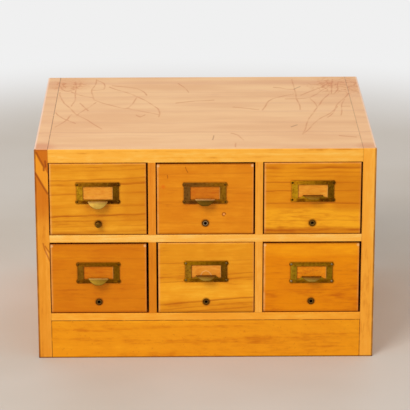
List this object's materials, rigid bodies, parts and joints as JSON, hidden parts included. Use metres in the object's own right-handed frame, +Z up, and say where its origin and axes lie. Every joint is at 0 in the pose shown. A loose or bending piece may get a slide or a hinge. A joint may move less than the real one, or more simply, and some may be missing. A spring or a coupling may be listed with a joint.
{
  "type": "card index cabinet",
  "caption": "Low wooden card index cabinet with two rows of flush drawers over a plinth, each with a brass card frame, finger tongue and rod eyelet.",
  "frame": {"origin": "bottom centre of the whole object, on the surface that it stands on", "axes": "+Z up; the drawers open towards -Y; +X to the right for someone facing the drawers"},
  "size_m": [0.527, 0.444, 0.3435],
  "materials": {
    "case_wood": "honey-coloured varnish, worn at the edges",
    "drawer_front_wood": "honey-coloured varnish over streaked grain",
    "drawer_box_wood": "bare pale softwood",
    "plywood": "bare thin plywood",
    "aged_brass": "olive-brown patina, rubbed brighter on raised edges",
    "rod_brass": "dull brown drawn brass",
    "steel": "dull zinc-plated steel"
  },
  "bodies": {
    "case": {"left_side": "case_wood", "right_side": "case_wood", "top_board": "case_wood", "middle_shelf": "case_wood", "bottom_shelf": "case_wood", "plinth_board": "case_wood", "back_panel": "plywood", "back_screws": "steel", "lower_left_partition": "case_wood", "lower_right_partition": "case_wood", "upper_left_partition": "case_wood", "upper_right_partition": "case_wood"},
    "drawer_1": {"drawer_1_front": "drawer_front_wood", "drawer_1_sides": "drawer_box_wood", "drawer_1_back": "drawer_box_wood", "drawer_1_bottom": "plywood", "drawer_1_card_frame": "aged_brass", "drawer_1_pins_and_eyelet": "aged_brass"},
    "drawer_1_card_rod": {"drawer_1_rod": "rod_brass"},
    "drawer_1_follower_block": {"drawer_1_follower": "drawer_box_wood"},
    "drawer_2": {"drawer_2_front": "drawer_front_wood", "drawer_2_sides": "drawer_box_wood", "drawer_2_back": "drawer_box_wood", "drawer_2_bottom": "plywood", "drawer_2_card_frame": "aged_brass", "drawer_2_pins_and_eyelet": "aged_brass"},
    "drawer_2_card_rod": {"drawer_2_rod": "rod_brass"},
    "drawer_2_follower_block": {"drawer_2_follower": "drawer_box_wood"},
    "drawer_3": {"drawer_3_front": "drawer_front_wood", "drawer_3_sides": "drawer_box_wood", "drawer_3_back": "drawer_box_wood", "drawer_3_bottom": "plywood", "drawer_3_card_frame": "aged_brass", "drawer_3_pins_and_eyelet": "aged_brass"},
    "drawer_3_card_rod": {"drawer_3_rod": "rod_brass"},
    "drawer_3_follower_block": {"drawer_3_follower": "drawer_box_wood"},
    "drawer_4": {"drawer_4_front": "drawer_front_wood", "drawer_4_sides": "drawer_box_wood", "drawer_4_back": "drawer_box_wood", "drawer_4_bottom": "plywood", "drawer_4_card_frame": "aged_brass", "drawer_4_pins_and_eyelet": "aged_brass"},
    "drawer_4_card_rod": {"drawer_4_rod": "rod_brass"},
    "drawer_4_follower_block": {"drawer_4_follower": "drawer_box_wood"},
    "drawer_5": {"drawer_5_front": "drawer_front_wood", "drawer_5_sides": "drawer_box_wood", "drawer_5_back": "drawer_box_wood", "drawer_5_bottom": "plywood", "drawer_5_card_frame": "aged_brass", "drawer_5_pins_and_eyelet": "aged_brass"},
    "drawer_5_card_rod": {"drawer_5_rod": "rod_brass"},
    "drawer_5_follower_block": {"drawer_5_follower": "drawer_box_wood"},
    "drawer_6": {"drawer_6_front": "drawer_front_wood", "drawer_6_sides": "drawer_box_wood", "drawer_6_back": "drawer_box_wood", "drawer_6_bottom": "plywood", "drawer_6_card_frame": "aged_brass", "drawer_6_pins_and_eyelet": "aged_brass"},
    "drawer_6_card_rod": {"drawer_6_rod": "rod_brass"},
    "drawer_6_follower_block": {"drawer_6_follower": "drawer_box_wood"}
  },
  "joints": [
    {"name": "drawer_1_slide", "type": "slide", "parent": "case", "child": "drawer_1", "axis": [0, -1, 0], "range_m": [0, 0.3]},
    {"name": "drawer_1_rod_pull", "type": "slide", "parent": "drawer_1", "child": "drawer_1_card_rod", "axis": [0, -1, 0], "range_m": [0, 0.386]},
    {"name": "drawer_1_follower_slide", "type": "slide", "parent": "drawer_1", "child": "drawer_1_follower_block", "axis": [0, -1, 0], "range_m": [0, 0.348]},
    {"name": "drawer_2_slide", "type": "slide", "parent": "case", "child": "drawer_2", "axis": [0, -1, 0], "range_m": [0, 0.3]},
    {"name": "drawer_2_rod_pull", "type": "slide", "parent": "drawer_2", "child": "drawer_2_card_rod", "axis": [0, -1, 0], "range_m": [0, 0.385]},
    {"name": "drawer_2_follower_slide", "type": "slide", "parent": "drawer_2", "child": "drawer_2_follower_block", "axis": [0, -1, 0], "range_m": [0, 0.347]},
    {"name": "drawer_3_slide", "type": "slide", "parent": "case", "child": "drawer_3", "axis": [0, -1, 0], "range_m": [0, 0.3]},
    {"name": "drawer_3_rod_pull", "type": "slide", "parent": "drawer_3", "child": "drawer_3_card_rod", "axis": [0, -1, 0], "range_m": [0, 0.386]},
    {"name": "drawer_3_follower_slide", "type": "slide", "parent": "drawer_3", "child": "drawer_3_follower_block", "axis": [0, -1, 0], "range_m": [0, 0.348]},
    {"name": "drawer_4_slide", "type": "slide", "parent": "case", "child": "drawer_4", "axis": [0, -1, 0], "range_m": [0, 0.3]},
    {"name": "drawer_4_rod_pull", "type": "slide", "parent": "drawer_4", "child": "drawer_4_card_rod", "axis": [0, -1, 0], "range_m": [0, 0.385]},
    {"name": "drawer_4_follower_slide", "type": "slide", "parent": "drawer_4", "child": "drawer_4_follower_block", "axis": [0, -1, 0], "range_m": [0, 0.347]},
    {"name": "drawer_5_slide", "type": "slide", "parent": "case", "child": "drawer_5", "axis": [0, -1, 0], "range_m": [0, 0.3]},
    {"name": "drawer_5_rod_pull", "type": "slide", "parent": "drawer_5", "child": "drawer_5_card_rod", "axis": [0, -1, 0], "range_m": [0, 0.386]},
    {"name": "drawer_5_follower_slide", "type": "slide", "parent": "drawer_5", "child": "drawer_5_follower_block", "axis": [0, -1, 0], "range_m": [0, 0.348]},
    {"name": "drawer_6_slide", "type": "slide", "parent": "case", "child": "drawer_6", "axis": [0, -1, 0], "range_m": [0, 0.3]},
    {"name": "drawer_6_rod_pull", "type": "slide", "parent": "drawer_6", "child": "drawer_6_card_rod", "axis": [0, -1, 0], "range_m": [0, 0.385]},
    {"name": "drawer_6_follower_slide", "type": "slide", "parent": "drawer_6", "child": "drawer_6_follower_block", "axis": [0, -1, 0], "range_m": [0, 0.347]}
  ]
}
